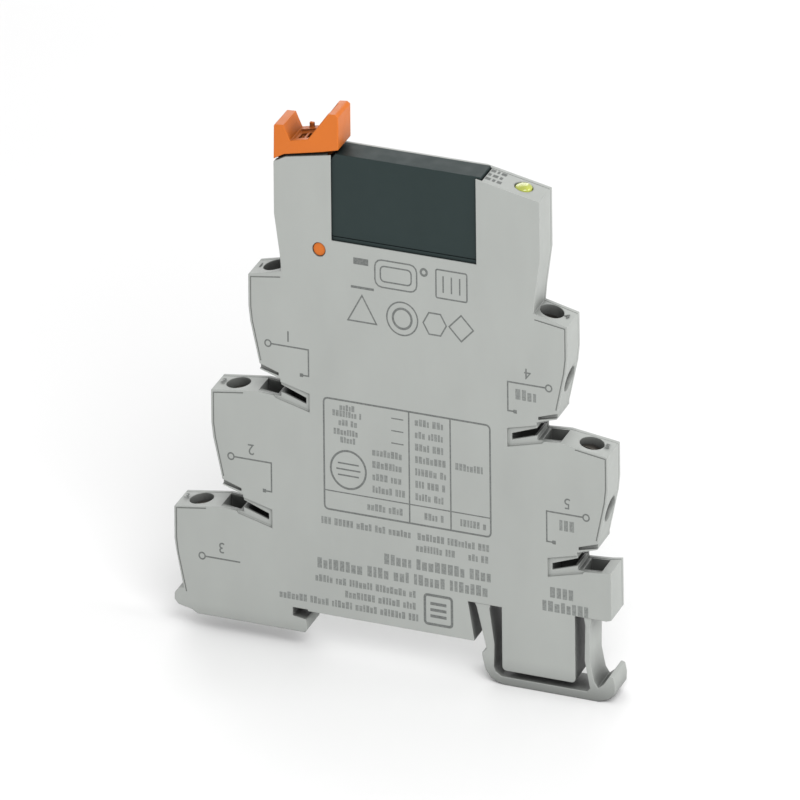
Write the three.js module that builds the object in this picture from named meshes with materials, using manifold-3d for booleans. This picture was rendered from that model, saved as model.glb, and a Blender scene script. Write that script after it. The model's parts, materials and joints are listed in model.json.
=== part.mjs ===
// Slim plug-in relay module for a 35 mm mounting rail.
//
// Millimetres. +X runs along the wiring direction (across the rail), +Y through the 6.2 mm
// thickness, +Z up, away from the rail. The origin is on the rail's centreline, mid-thickness,
// on the plane where the housing rests on the rail's flanges.

import * as THREE from 'three';
import { mergeVertices } from 'three/addons/utils/BufferGeometryUtils.js';
import Module from 'manifold-3d';

const wasm = await Module();
wasm.setup();

// ---------------------------------------------------------------- driving dimensions

const WIDTH = 6.2;                    // module pitch on the rail
const FRONT = -WIDTH / 2;             // printed side of the housing
const BACK = WIDTH / 2;
const WALL = 0.8;                     // front wall and cover
const INSIDE_FRONT = FRONT + WALL;
const INSIDE_BACK = BACK - WALL;
const SEAM = 0.05;                    // parting line between shell and cover
const BEYOND = 1;                     // how far a cutter reaches past the wall it opens

const MIRROR_X = 3.75;                // the terminal steps are symmetrical about this plane
const STEP_X = 7.05;                  // offset from one terminal step to the next, across
const STEP_Z = 20.85;                 // and up
const TILT = THREE.MathUtils.degToRad(11.2);   // slope of each terminal step

const TERMINAL = {
  top: { x: -21.43, z: 56.73 },       // screw axis where it meets the top face, upper left step
  boreRadius: 2.1,
  shoulder: 3.0,                      // depth of the shoulder that holds the screw head
  shoulderRadius: 1.72,
  chamberTop: 4.0,
  chamberBottom: 13.4,
  chamberHalf: 2.5,
  wireDepth: 10.25,
  wireRadius: 1.9,
  funnelRadius: 2.6,
  funnelDepth: 1.3,
  faceDistance: 5.6,                  // screw axis to the slanted wire face, a little beyond
};
const SCREW = { headTop: 1.6, headBottom: 2.95, headRadius: 1.9, shankRadius: 1.5, tip: 7.4,
  slotWidth: 0.6, slotDepth: 0.8 };
const CAGE = { top: 6.1, plate: 1.4, floorTop: 12.0, bottom: 13.0, halfY: 2.1, halfX: 2.2,
  windowY: 1.6, bore: 1.62 };
const BAR = { top: 7.6, thickness: 1.0, halfY: 1.3, outerEnd: 1.8, tabHeight: 3.0 };

const PIN_SET_IN = 0.25;               // the lever's pivot ends a little below the side faces
const PIVOT = { x: -12.2, z: 62.0, pin: 1.15, bearing: 1.2, hub: 2.2 };
const LEVER_HALF = 1.5;               // lever arm, half thickness
const HEAD_HALF = 3.0;                // lever head, half thickness
const CHANNEL_FRONT = -1.8;           // front side of the lever's channel

const RELAY = { left: -10.7, right: 17.3, bottom: 63.6, top: 78.6, front: -2.75, back: 2.25,
  wall: 0.5, baseTop: 64.5 };
const RELAY_GAP = 0.15;
const PIN = { bottom: 60.4, top: 66.4, halfX: 0.6, front: 0.7, back: 1.2 };
const PIN_X = { a1: -5.5, a2: -1.7, no: 10.0, com: 13.5 };
const COIL = { left: -8.6, right: 4.4, z: 71, y: -0.25 };
const SPRING_X = 13.3;

const BOARD = { front: 1.4, back: 2.2 };
const LIGHT = { x: 24.0, bottom: 60.3, rod: 1.05, lens: 1.5, bore: 1.2, dome: 0.55, lensTop: 77.4,
  lensZ: 76.1 };

const ROUND = 28;                     // sides of an ordinary round feature
const SMALL_ROUND = 20;

// ---------------------------------------------------------------- finishes

function finish(color, roughness, metalness = 0) {
  return () => new THREE.MeshStandardMaterial({ color, roughness, metalness });
}

const greyPlastic = finish(0xb2b6b1, 0.6);
const orangePlastic = finish(0xeb7d2d, 0.5);
const darkPlastic = finish(0x404846, 0.45);
const blackPlastic = finish(0x1d1f20, 0.5);
const palePlastic = finish(0xd8d4c4, 0.5);
const clearPlastic = finish(0xc8cd5a, 0.15);
const boardGreen = finish(0x2c6b45, 0.5);
const plated = finish(0xc9c9c4, 0.3, 1);
const steel = finish(0x9a9c9e, 0.35, 1);
const copper = finish(0xb4692f, 0.35, 1);
const brass = finish(0xc2a35a, 0.35, 1);

// ---------------------------------------------------------------- shape helpers

// A closed geometry as a solid that can be joined and cut.
function solid(geometry) {
  const bare = geometry.clone();
  bare.deleteAttribute('normal');
  bare.deleteAttribute('uv');
  const merged = mergeVertices(bare, 1e-5);
  return new wasm.Manifold(new wasm.Mesh({
    numProp: 3,
    vertProperties: new Float32Array(merged.attributes.position.array),
    triVerts: new Uint32Array(merged.index.array),
  }));
}

function geometryOf(body) {
  const mesh = body.getMesh();
  const geometry = new THREE.BufferGeometry();
  geometry.setAttribute('position', new THREE.BufferAttribute(mesh.vertProperties, 3));
  geometry.setIndex(new THREE.BufferAttribute(mesh.triVerts, 1));
  geometry.computeVertexNormals();
  return geometry;
}

// An outline in the XZ plane, given as [x, z] points, as a prism from y0 to y1.
function prism(points, y0, y1) {
  const shape = new THREE.Shape(points.map(([x, z]) => new THREE.Vector2(x, z)));
  const geometry = new THREE.ExtrudeGeometry(shape, { depth: y1 - y0, bevelEnabled: false });
  geometry.rotateX(Math.PI / 2);
  geometry.translate(0, y1, 0);
  return solid(geometry);
}

function block(x0, x1, y0, y1, z0, z1) {
  const geometry = new THREE.BoxGeometry(x1 - x0, y1 - y0, z1 - z0);
  geometry.translate((x0 + x1) / 2, (y0 + y1) / 2, (z0 + z1) / 2);
  return solid(geometry);
}

// A round bar along Y, X or Z between two stations.
function barY(x, z, radius, y0, y1, sides = ROUND) {
  const geometry = new THREE.CylinderGeometry(radius, radius, y1 - y0, sides);
  geometry.translate(x, (y0 + y1) / 2, z);
  return solid(geometry);
}

function barX(y, z, radius, x0, x1, sides = ROUND, endRadius = radius) {
  const geometry = new THREE.CylinderGeometry(radius, endRadius, x1 - x0, sides);
  geometry.rotateZ(Math.PI / 2);
  geometry.translate((x0 + x1) / 2, y, z);
  return solid(geometry);
}

function barZ(x, y, radius, z0, z1, sides = ROUND, topRadius = radius) {
  const geometry = new THREE.CylinderGeometry(topRadius, radius, z1 - z0, sides);
  geometry.rotateX(Math.PI / 2);
  geometry.translate(x, y, (z0 + z1) / 2);
  return solid(geometry);
}

function join(...bodies) {
  return bodies.reduce((whole, body) => whole.add(body));
}

function cut(body, ...cutters) {
  return cutters.reduce((left, cutter) => left.subtract(cutter), body);
}

function piece(name, body, material) {
  const mesh = new THREE.Mesh(geometryOf(body), material());
  mesh.name = name;
  return mesh;
}

function mirrorPoints(points) {
  return points.map(([x, z]) => [2 * MIRROR_X - x, z]).reverse();
}

function shiftPoints(points, steps) {
  return points.map(([x, z]) => [x + steps * STEP_X, z + steps * STEP_Z]);
}

// ---------------------------------------------------------------- terminals

// Each terminal has its own frame: origin where the screw axis meets the top face, local +Z out
// along the screw, local +X inward along the wire.
const terminals = [
  { name: 'a2', side: 'left', steps: 0, barLength: 9.6 },
  { name: 'bb', side: 'left', steps: -1, barLength: 16.8 },
  { name: 'a1', side: 'left', steps: -2, barLength: 24.0 },
  { name: 'com', side: 'right', steps: 0, barLength: 9.4 },
  { name: 'no', side: 'right', steps: -1, barLength: 16.6 },
];

function terminalMatrix({ side, steps }) {
  const x = TERMINAL.top.x + steps * STEP_X;
  const z = TERMINAL.top.z + steps * STEP_Z;
  const matrix = new THREE.Matrix4();
  if (side === 'left') {
    return matrix.makeTranslation(x, 0, z).multiply(new THREE.Matrix4().makeRotationY(-TILT));
  }
  const half = new THREE.Matrix4().makeRotationZ(Math.PI);
  const tilt = new THREE.Matrix4().makeRotationY(TILT);
  return matrix.makeTranslation(2 * MIRROR_X - x, 0, z).multiply(tilt).multiply(half);
}

function inTerminal(terminal, body) {
  const geometry = geometryOf(body);
  geometry.applyMatrix4(terminalMatrix(terminal));
  return solid(geometry);
}

// What one terminal takes out of the housing: screw bore, shoulder, cage chamber, wire funnel
// and the slot for its bar.
function terminalCutter(terminal) {
  const t = TERMINAL;
  const reach = INSIDE_BACK + BEYOND;
  const slotSide = BAR.halfY + 0.2;
  // The right-hand frames are turned half round, so their local Y points to the printed side.
  const left = terminal.side === 'left';
  const [chamberY0, chamberY1] = left ? [INSIDE_FRONT, reach] : [-reach, -INSIDE_FRONT];
  const [slotY0, slotY1] = left ? [-slotSide, reach] : [-reach, slotSide];
  const bore = barZ(0, 0, t.boreRadius, -t.shoulder, BEYOND);
  const shoulder = barZ(0, 0, t.shoulderRadius, -t.chamberTop - 0.1, -t.shoulder + 0.1);
  const chamber = block(-t.chamberHalf, t.chamberHalf, chamberY0, chamberY1, -t.chamberBottom,
    -t.chamberTop);
  const wire = barX(0, -t.wireDepth, t.wireRadius, -t.faceDistance - BEYOND, 0);
  const funnel = barX(0, -t.wireDepth, t.funnelRadius, -t.faceDistance - BEYOND,
    -t.faceDistance + t.funnelDepth, ROUND, t.wireRadius);
  const barSlot = block(0, terminal.barLength + 0.5, slotY0, slotY1,
    -BAR.top - BAR.thickness - 0.3, -BAR.top + 0.3);
  return inTerminal(terminal, join(bore, shoulder, chamber, wire, funnel, barSlot));
}

function terminalScrew() {
  const s = SCREW;
  const profile = [
    [0, -s.tip], [s.shankRadius - 0.4, -s.tip], [s.shankRadius, -s.tip + 0.4],
    [s.shankRadius, -s.headBottom], [s.headRadius, -s.headBottom],
    [s.headRadius, -s.headTop - 0.2], [s.headRadius - 0.2, -s.headTop], [0, -s.headTop],
  ];
  const turned = new THREE.LatheGeometry(profile.map(([r, h]) => new THREE.Vector2(r, h)), ROUND);
  turned.rotateX(Math.PI / 2);
  const slot = block(-BEYOND - s.headRadius, s.headRadius + BEYOND, -s.slotWidth / 2,
    s.slotWidth / 2, -s.headTop - s.slotDepth, 0);
  return cut(solid(turned), slot);
}

function clampCage() {
  const c = CAGE;
  const outer = block(-c.halfX, c.halfX, -c.halfY, c.halfY, -c.bottom, -c.top);
  const window = block(-c.halfX - BEYOND, c.halfX + BEYOND, -c.windowY, c.windowY, -c.floorTop,
    -c.top - c.plate);
  return cut(outer, window, barZ(0, 0, c.bore, -c.top - c.plate - BEYOND, -c.top + BEYOND));
}

function currentBar(length) {
  const b = BAR;
  const top = -b.top;
  const outline = [
    [-b.outerEnd, top - b.thickness], [length, top - b.thickness],
    [length, top + b.tabHeight], [length - b.thickness, top + b.tabHeight],
    [length - b.thickness, top], [-b.outerEnd, top],
  ];
  return prism(outline, -b.halfY, b.halfY);
}

function terminalPieces(terminal) {
  const group = new THREE.Group();
  group.applyMatrix4(terminalMatrix(terminal));
  group.add(
    piece(`terminal_screw_${terminal.name}`, terminalScrew(), steel),
    piece(`clamp_cage_${terminal.name}`, clampCage(), plated),
    piece(`current_bar_${terminal.name}`, currentBar(terminal.barLength), brass),
  );
  return group;
}

// ---------------------------------------------------------------- housing

// The notch between two terminal steps, where a bridge is plugged in: from the lower step's top
// face, in under the upper step and out again. Written for the lower left notch.
const bridgeNotch = [
  [-30.8, 15.2], [-26.6, 14.9], [-26.6, 15.7], [-22.0, 14.3], [-22.0, 15.3], [-26.6, 16.9],
  [-26.6, 18.0], [-30.3, 19.1], [-30.3, 19.8],
];

// Left edge of a terminal step above its notch.
const stepFace = [[-32.0, 27.0], [-32.3, 29.5], [-32.3, 35.0]];

function leftSide() {
  return [
    [-37.7, 0.3], [-39.0, 6.5], [-39.3, 8.5], [-39.3, 14.0],
    ...bridgeNotch,
    ...stepFace,
    ...shiftPoints(bridgeNotch, 1),
    ...shiftPoints(stepFace, 1),
    [-19.2, 57.2], [-19.4, 60.0], [-20.4, 67.0], [-20.4, 75.8], [-18.2, 76.9], [-9.9, 78.4],
  ];
}

function rightSide() {
  return [
    [28.0, 76.2], [28.0, 66.5], [27.0, 60.0], [26.7, 57.2],
    ...mirrorPoints(shiftPoints(stepFace, 1)),
    ...mirrorPoints(shiftPoints(bridgeNotch, 1)),
    ...mirrorPoints(stepFace),
    ...mirrorPoints(bridgeNotch),
    [40.2, 15.5], [40.2, 7.5], [39.2, 7.2],
  ];
}

const WINDOW = { left: -9.9, right: 16.4, bottom: 63.9 };
const FOOT_ROOM = { left: 14.3, right: 20.4, top: 6.5 };
const FOOT_BLOCK = { left: 20.4, right: 33.6, bottom: -4.1, corner: 0.7 };

// Round outline corner: a quarter arc about (cx, cz) from one angle to another, in degrees.
function arc(cx, cz, radius, from, to, steps = 4) {
  const points = [];
  for (let i = 0; i <= steps; i++) {
    const angle = THREE.MathUtils.degToRad(from + (to - from) * i / steps);
    points.push([cx + radius * Math.cos(angle), cz + radius * Math.sin(angle)]);
  }
  return points;
}

function footBlock() {
  const { left, right, bottom, corner } = FOOT_BLOCK;
  return [
    [right, 7.2], ...arc(right - corner, bottom + corner, corner, 0, -90),
    ...arc(left + corner, bottom + corner, corner, 270, 180), [left, FOOT_ROOM.top],
  ];
}

const SEAT_RELIEF = 0.25;             // the seat is set back a little over the fixed hook's jaw

function housingOutline() {
  return [
    [15.45, 0], [-14.9, 0], [-14.9, SEAT_RELIEF], [-17.65, SEAT_RELIEF], [-17.65, -1.15],
    [-15.3, -1.45], [-15.1, -1.9], [-15.1, -3.3], [-15.5, -3.75], [-35.2, -3.75], [-36.2, -3.2], [-38.7, -2.7], [-39.4, -1.9], [-39.4, -0.9],
    [-38.8, -0.1],
    ...leftSide(),
    [WINDOW.right, 78.4],
    ...rightSide(),
    ...footBlock(),
    [FOOT_ROOM.left, FOOT_ROOM.top],
  ];
}

// Where the relay and the lever work: the relay's bay, the window that shows its side, and the
// channel that the lever swings through.
function relayBay() {
  const r = RELAY;
  return block(r.left - RELAY_GAP, r.right + RELAY_GAP, r.front - 0.05, BACK + BEYOND,
    r.bottom - 0.1, r.top + 2);
}

function relayWindow() {
  return block(WINDOW.left, WINDOW.right, FRONT - BEYOND, BACK + BEYOND, WINDOW.bottom,
    RELAY.top + 2);
}

const leverChannel = [
  [-21.5, 65.6], [-14.6, 60.9], [-14.6, 59.4], [-9.6, 59.4], [-7.0, 61.4], [-7.0, 64.0],
  [-10.8, 64.0], [-10.8, 80.0], [-21.5, 80.0],
];

// The hollow in the middle of the housing that holds the board, the bars' ends and the sockets.
const centreHollow = [
  [-13, 1.4], [12.8, 1.4], [12.8, 8], [20.4, 8], [20.4, 53.9], [25.2, 53.9], [25.2, 61.4],
  [-6.6, 61.4], [-8.6, 58.6], [-13, 58.6],
];

// The shallow step in the printed side round a bridge notch's slot.
const notchRecess = [[-28.0, 15.2], [-27.5, 14.6], [-21.3, 13.1], [-21.3, 16.2], [-27.2, 17.6]];
const RECESS_DEPTH = 0.35;

// The narrow groove along the underside of the step above.
const notchGroove = [[-31.5, 20.35], [-31.5, 19.6], [-26.9, 18.5], [-26.9, 18.95]];
const GROOVE_DEPTH = 0.5;

// The hollow behind the slot, and the shaft in the lower step's top face that a bridge's leg
// goes down into.
const slotHollow = [[-26.0, 12.9], [-21.8, 12.0], [-21.8, 15.9], [-26.0, 17.3]];
const bridgeShaft = [[-31.0, 16.5], [-30.2, 11.4], [-27.4, 11.4], [-27.4, 16.5]];
const SHAFT_HALF = 1.9;

function atEveryNotch(points, y0, y1) {
  const upper = shiftPoints(points, 1);
  return [points, upper, mirrorPoints(points), mirrorPoints(upper)]
    .map((outline) => prism(outline, y0, y1));
}

function notchCutters() {
  return [
    ...atEveryNotch(notchRecess, FRONT - BEYOND, FRONT + RECESS_DEPTH),
    ...atEveryNotch(notchGroove, FRONT - BEYOND, FRONT + GROOVE_DEPTH),
    ...atEveryNotch(slotHollow, INSIDE_FRONT, BACK + BEYOND),
    ...atEveryNotch(bridgeShaft, -SHAFT_HALF, SHAFT_HALF),
  ];
}

function pinHoles() {
  const clearance = 0.2;
  return Object.values(PIN_X).map((x) => block(x - PIN.halfX - clearance,
    x + PIN.halfX + clearance, PIN.front - clearance, PIN.back + clearance, 60, RELAY.bottom));
}

function lightBore() {
  return join(
    barZ(LIGHT.x, 0, LIGHT.bore, 60, 80, SMALL_ROUND),
    barZ(LIGHT.x, 0, LIGHT.lens + 0.1, LIGHT.lensZ, 80, SMALL_ROUND),
  );
}

function housingShell() {
  const body = prism(housingOutline(), FRONT, INSIDE_BACK - SEAM);
  return cut(
    body,
    relayBay(),
    relayWindow(),
    prism(leverChannel, CHANNEL_FRONT, BACK + BEYOND),
    prism(centreHollow, INSIDE_FRONT, BACK + BEYOND),
    barY(PIVOT.x, PIVOT.z, PIVOT.bearing, FRONT - BEYOND, 0),
    lightBore(),
    ...pinHoles(),
    ...notchCutters(),
    ...terminals.map(terminalCutter),
  );
}

function housingCover() {
  const body = prism(housingOutline(), INSIDE_BACK, BACK);
  return cut(
    body,
    barY(PIVOT.x, PIVOT.z, PIVOT.bearing, 0, BACK + BEYOND),
    ...terminals.map((terminal) => inTerminal(terminal,
      barZ(0, 0, TERMINAL.boreRadius, -TERMINAL.shoulder, BEYOND))),
  );
}

// ---------------------------------------------------------------- rail foot

// One elastic loop: inner leg with the rail hook, bottom bar, outer leg and pry tab. The legs end
// a little below the housing they spring from, so that the loop can slide as one body.
const footOutline = [
  [15.7, 6.2], [17.3, 0], [17.5, -1.0], [16.7, -1.8], [16.8, -2.6], [17.3, -4.5], [18.3, -5.8],
  [19.5, -6.3], [20.7, -6.6], [37.5, -6.6], [39.5, -6.0], [40.6, -5.0], [40.7, -3.5],
  [40.4, -2.1], [39.7, -1.9], [38.6, -3.5], [37.6, -4.3], [36.9, -3.3], [36.6, -2.0],
  [36.2, 0], [36.3, 6.9], [35.4, 6.9], [35.2, 0], [36.1, -4.6], [35.6, -5.2], [20.2, -5.2],
  [19.2, -4.6], [18.9, -3.8], [19.0, 0], [18.1, 6.2],
];

function railFoot() {
  return prism(footOutline, FRONT + 0.1, BACK - 0.1);
}

// ---------------------------------------------------------------- lever

const leverHead = [
  [-20.4, 76.15], [-18.5, 77.2], [-11.5, 78.6], [-8.5, 79.35], [-8.5, 85.0], [-9.1, 85.35],
  [-10.4, 85.2], [-14.1, 80.4], [-17.3, 79.7], [-18.5, 82.2], [-20.1, 82.1], [-20.3, 81.9],
];
const leverArm = [[-13.6, 63.4], [-11.5, 63.4], [-11.5, 76.7], [-8.9, 79.3], [-13.6, 79.3]];
const leverSkirt = [
  [-20.2, 74.4], [-13.2, 74.4], [-13.2, 78.6], [-18.4, 77.6], [-20.2, 76.7],
];
const ejectArm = [[-10.8, 61.9], [-8.2, 61.9], [-7.5, 62.4], [-7.5, 63.2], [-10.8, 63.2]];

// The label lies in a shallow channel along the head's saddle and up its taller horn; the label's
// studs go into three pockets in the saddle's floor.
const labelChannel = [
  [-17.9, 80.9], [-17.0, 79.35], [-13.9, 80.0], [-10.1, 84.8], [-10.6, 86.0], [-14.5, 82.0],
];
const labelPockets = [[-16.6, -15.7], [-15.1, -14.3], [-13.6, -12.9]];

function retainingLever() {
  const body = join(
    prism(leverHead, -HEAD_HALF, HEAD_HALF),
    prism(leverArm, -LEVER_HALF, LEVER_HALF),
    prism(leverSkirt, -LEVER_HALF, LEVER_HALF),
    prism(ejectArm, -LEVER_HALF, LEVER_HALF),
    barY(PIVOT.x, PIVOT.z, PIVOT.hub, -LEVER_HALF, LEVER_HALF),
    barY(PIVOT.x, PIVOT.z, PIVOT.pin, FRONT + PIN_SET_IN, BACK - PIN_SET_IN),
  );
  const latchNub = block(-15.8, -14.9, 2.15, 2.7, 79.5, 81.0);
  const pockets = labelPockets.map(([x0, x1]) => block(x0, x1, -1.5, 1.1, 78.95, 82));
  return cut(join(cut(body, prism(labelChannel, -2.1, 1.65)), latchNub), ...pockets);
}

// ---------------------------------------------------------------- light, board, sockets

// A straight rod with a collar and a domed lens, turned about its own axis.
function lightGuide() {
  const l = LIGHT;
  const domeSteps = 5;
  const rim = l.lensTop - l.dome;
  const profile = [[0, l.bottom], [l.rod, l.bottom], [l.rod, l.lensZ + 0.1],
    [l.lens, l.lensZ + 0.1], [l.lens, rim]];
  for (let i = 1; i <= domeSteps; i++) {
    const angle = i / domeSteps * Math.PI / 2;
    profile.push([i < domeSteps ? l.lens * Math.cos(angle) : 0, rim + l.dome * Math.sin(angle)]);
  }
  const turned = new THREE.LatheGeometry(profile.map(([r, h]) => new THREE.Vector2(r, h)), ROUND);
  turned.rotateX(Math.PI / 2);
  turned.translate(l.x, 0, 0);
  return solid(turned);
}

const boardOutline = [
  [-11.5, 20], [19.8, 20], [19.8, 54.5], [24.8, 54.5], [24.8, 59.3], [16.5, 59.3], [16.5, 54.9],
  [-11.5, 54.9],
];

// A chip body with two feet, standing on the board's front side.
function chip(x, z, halfX, halfZ, height) {
  const back = BOARD.front - 0.05;
  const foot = 0.4;
  return join(
    block(x - halfX, x + halfX, back - height, back - 0.15, z - halfZ, z + halfZ),
    block(x - halfX - foot, x + halfX + foot, back - 0.5, back, z - foot, z + foot),
  );
}

function axialPart(x, z, radius, halfLength) {
  const y = BOARD.front - 0.15 - radius;
  const wire = 0.3;
  const reach = halfLength + 1.2;
  return join(
    barX(y, z, radius, x - halfLength, x + halfLength, SMALL_ROUND),
    barX(y, z, wire, x - reach, x + reach, 8),
    block(x - reach - wire, x - reach + wire, y, BOARD.front - 0.05, z - wire, z + wire),
    block(x + reach - wire, x + reach + wire, y, BOARD.front - 0.05, z - wire, z + wire),
  );
}

function socketContact(x) {
  const middle = (PIN.front + PIN.back) / 2;
  const body = block(x - 1.0, x + 1.0, middle - 1.05, middle + 1.05, 55.4, 61.2);
  const fork = block(x - 0.75, x + 0.75, PIN.front - 0.06, PIN.back + 0.06, 59.9, 61.2 + BEYOND);
  const relief = block(x - 0.3, x + 0.3, middle - 2, middle + 2, 57.2, 61.2 + BEYOND);
  return cut(body, fork, relief);
}

// ---------------------------------------------------------------- relay

function relayOutline(inset) {
  const r = RELAY;
  const corner = 0.42 * inset;
  return [
    [r.left + inset, r.baseTop + 0.05], [r.right - inset, r.baseTop + 0.05],
    [r.right - inset, r.top - inset], [-9.2 + corner, r.top - inset],
    [r.left + inset, 76.85 - corner],
  ];
}

function relayCase() {
  const { front, back, wall } = RELAY;
  const hollow = relayOutline(wall).map(([x, z], i) => [x, i < 2 ? z - BEYOND : z]);
  return cut(prism(relayOutline(0), front, back), prism(hollow, front + wall, back - wall));
}

function relayBase() {
  const r = RELAY;
  const plate = block(r.left, r.right, r.front, r.back, r.bottom, r.baseTop);
  const holes = Object.values(PIN_X).map((x) => block(x - PIN.halfX - 0.05, x + PIN.halfX + 0.05,
    PIN.front - 0.05, PIN.back + 0.05, r.bottom - BEYOND, r.baseTop + BEYOND));
  return cut(plate, ...holes);
}

function coilBobbin() {
  const { left, right, z, y } = COIL;
  const flange = 0.5;
  const halfY = 1.7;
  const halfZ = 3.9;
  return cut(
    join(
      block(left, left + flange, y - halfY, y + halfY, z - halfZ, z + halfZ),
      block(right - flange, right, y - halfY, y + halfY, z - halfZ, z + halfZ),
      barX(y, z, 1.4, left, right, SMALL_ROUND),
    ),
    barX(y, z, 1.0, left - BEYOND, right + BEYOND, SMALL_ROUND),
  );
}

// The winding is wound flat to fit the slim case: a rounded slab with the bobbin's tube through it.
function coilWinding() {
  const { left, right, z, y } = COIL;
  const half = 1.62;
  const reach = 3.6;
  const x0 = left + 0.55;
  const x1 = right - 0.55;
  return cut(
    join(
      block(x0, x1, y - half, y + half, z - reach + half, z + reach - half),
      barX(y, z - reach + half, half, x0, x1, ROUND),
      barX(y, z + reach - half, half, x0, x1, ROUND),
    ),
    barX(y, z, 1.45, x0 - BEYOND, x1 + BEYOND, SMALL_ROUND),
  );
}

function coilCore() {
  const { z, y } = COIL;
  return join(
    barX(y, z, 0.9, -8.8, 4.9, SMALL_ROUND),
    barX(y, z, 1.5, 4.5, 4.9, SMALL_ROUND),
  );
}

const yokeOutline = [[-9.9, 65.2], [5.9, 65.2], [5.9, 66.2], [-8.9, 66.2], [-8.9, 75.0],
  [-9.9, 75.0]];
const PLATE = { front: -1.9, back: 0.4 };     // yoke, in front of the coil pins

function armature() {
  return block(5.25, 6.05, PLATE.front, PLATE.back, 66.45, 75.8);
}

const cardOutline = [
  [4.45, 75.1], [5.15, 75.1], [5.15, 76.1], [13.9, 76.1], [13.9, 74.6], [14.6, 74.6],
  [14.6, 76.9], [4.45, 76.9],
];

function movingContact() {
  return join(
    block(SPRING_X, SPRING_X + 0.3, -1.5, 1.0, 65.1, 75.8),
    barX(COIL.y, 73.2, 0.9, SPRING_X - 0.7, SPRING_X + 0.1, SMALL_ROUND),
  );
}

function fixedContact() {
  return join(
    block(PIN_X.no - PIN.halfX, PIN_X.no + PIN.halfX, PIN.front, PIN.back, PIN.bottom, 65.2),
    block(PIN_X.no - PIN.halfX, 11.7, -1.5, PIN.back, 64.8, 65.4),
    block(11.3, 11.7, -1.5, 1.0, 64.8, 74.2),
    barX(COIL.y, 73.2, 0.9, 11.6, 12.15, SMALL_ROUND),
  );
}

function plugPin(x, top) {
  const { halfX, front, back, bottom } = PIN;
  const middle = (front + back) / 2;
  const tip = 0.15;
  const blade = block(x - halfX, x + halfX, front, back, bottom + 0.6, top);
  const point = block(x - halfX + tip, x + halfX - tip, middle - tip, middle + tip, bottom,
    bottom + 0.7);
  return join(blade, point);
}

function relayPieces() {
  const group = new THREE.Group();
  group.add(
    piece('relay_case', relayCase(), darkPlastic),
    piece('relay_base', relayBase(), darkPlastic),
    piece('coil_bobbin', coilBobbin(), palePlastic),
    piece('coil_winding', coilWinding(), copper),
    piece('coil_core', coilCore(), steel),
    piece('yoke', prism(yokeOutline, PLATE.front, PLATE.back), steel),
    piece('armature', armature(), steel),
    piece('contact_card', prism(cardOutline, -1.2, 0.6), palePlastic),
    piece('moving_contact', movingContact(), copper),
    piece('fixed_contact', fixedContact(), brass),
    piece('contact_pin_com', plugPin(PIN_X.com, 64.9), brass),
    piece('coil_pin_a1', plugPin(PIN_X.a1, PIN.top), plated),
    piece('coil_pin_a2', plugPin(PIN_X.a2, PIN.top), plated),
  );
  return group;
}

function boardPieces() {
  const group = new THREE.Group();
  group.add(
    piece('circuit_board', prism(boardOutline, BOARD.front, BOARD.back), boardGreen),
    piece('rectifier', chip(-3, 44, 2.0, 2.4, 2.0), blackPlastic),
    piece('smoothing_capacitor', chip(6, 46, 1.6, 1.4, 1.8), palePlastic),
    piece('series_resistor', axialPart(2, 37, 0.9, 2.6), palePlastic),
    piece('suppressor_diode', axialPart(2, 32, 0.85, 2.2), blackPlastic),
    piece('status_led', chip(LIGHT.x - 0.2, 58.2, 0.45, 0.9, 1.6), clearPlastic),
  );
  for (const [name, x] of Object.entries(PIN_X)) {
    group.add(piece(`socket_contact_${name}`, socketContact(x), plated));
  }
  return group;
}

// ---------------------------------------------------------------- assembly

const relayModule = new THREE.Group();
relayModule.add(
  piece('housing_shell', housingShell(), greyPlastic),
  piece('housing_cover', housingCover(), greyPlastic),
  piece('rail_foot', railFoot(), greyPlastic),
  piece('retaining_lever', retainingLever(), orangePlastic),
  piece('light_guide', lightGuide(), clearPlastic),
  boardPieces(),
  relayPieces(),
  ...terminals.map(terminalPieces),
);

export default relayModule;
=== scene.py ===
"""Slim plug-in relay module for a 35 mm rail.

Finishes, rounded edges, printed marks, stage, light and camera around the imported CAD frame.
"""
import json
import math
import random

import bmesh
import bpy
from mathutils import Matrix, Vector
from mathutils.geometry import intersect_point_line


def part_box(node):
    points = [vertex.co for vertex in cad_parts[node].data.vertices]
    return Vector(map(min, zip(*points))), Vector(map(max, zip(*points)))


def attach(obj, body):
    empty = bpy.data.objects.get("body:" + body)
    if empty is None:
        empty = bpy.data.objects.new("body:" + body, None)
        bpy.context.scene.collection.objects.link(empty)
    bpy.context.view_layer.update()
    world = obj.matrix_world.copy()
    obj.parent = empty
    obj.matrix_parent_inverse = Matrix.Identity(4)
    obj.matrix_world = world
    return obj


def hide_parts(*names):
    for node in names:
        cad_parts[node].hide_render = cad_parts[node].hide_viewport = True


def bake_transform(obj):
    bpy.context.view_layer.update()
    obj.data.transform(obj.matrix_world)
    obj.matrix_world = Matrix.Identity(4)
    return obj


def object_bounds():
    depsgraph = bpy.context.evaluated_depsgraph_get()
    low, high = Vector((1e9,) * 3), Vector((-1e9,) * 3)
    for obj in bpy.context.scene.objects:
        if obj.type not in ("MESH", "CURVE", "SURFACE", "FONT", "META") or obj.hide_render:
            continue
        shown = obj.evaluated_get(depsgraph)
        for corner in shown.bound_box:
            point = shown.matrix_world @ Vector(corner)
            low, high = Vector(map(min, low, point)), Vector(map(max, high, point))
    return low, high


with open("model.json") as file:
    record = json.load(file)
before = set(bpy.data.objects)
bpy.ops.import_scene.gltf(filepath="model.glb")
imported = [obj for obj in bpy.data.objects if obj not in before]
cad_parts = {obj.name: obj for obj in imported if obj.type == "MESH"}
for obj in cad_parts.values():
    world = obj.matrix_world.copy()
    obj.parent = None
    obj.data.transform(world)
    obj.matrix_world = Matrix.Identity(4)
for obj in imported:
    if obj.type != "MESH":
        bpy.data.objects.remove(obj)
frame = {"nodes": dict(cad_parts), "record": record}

CAD_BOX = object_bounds()
MM = 0.001

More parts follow.
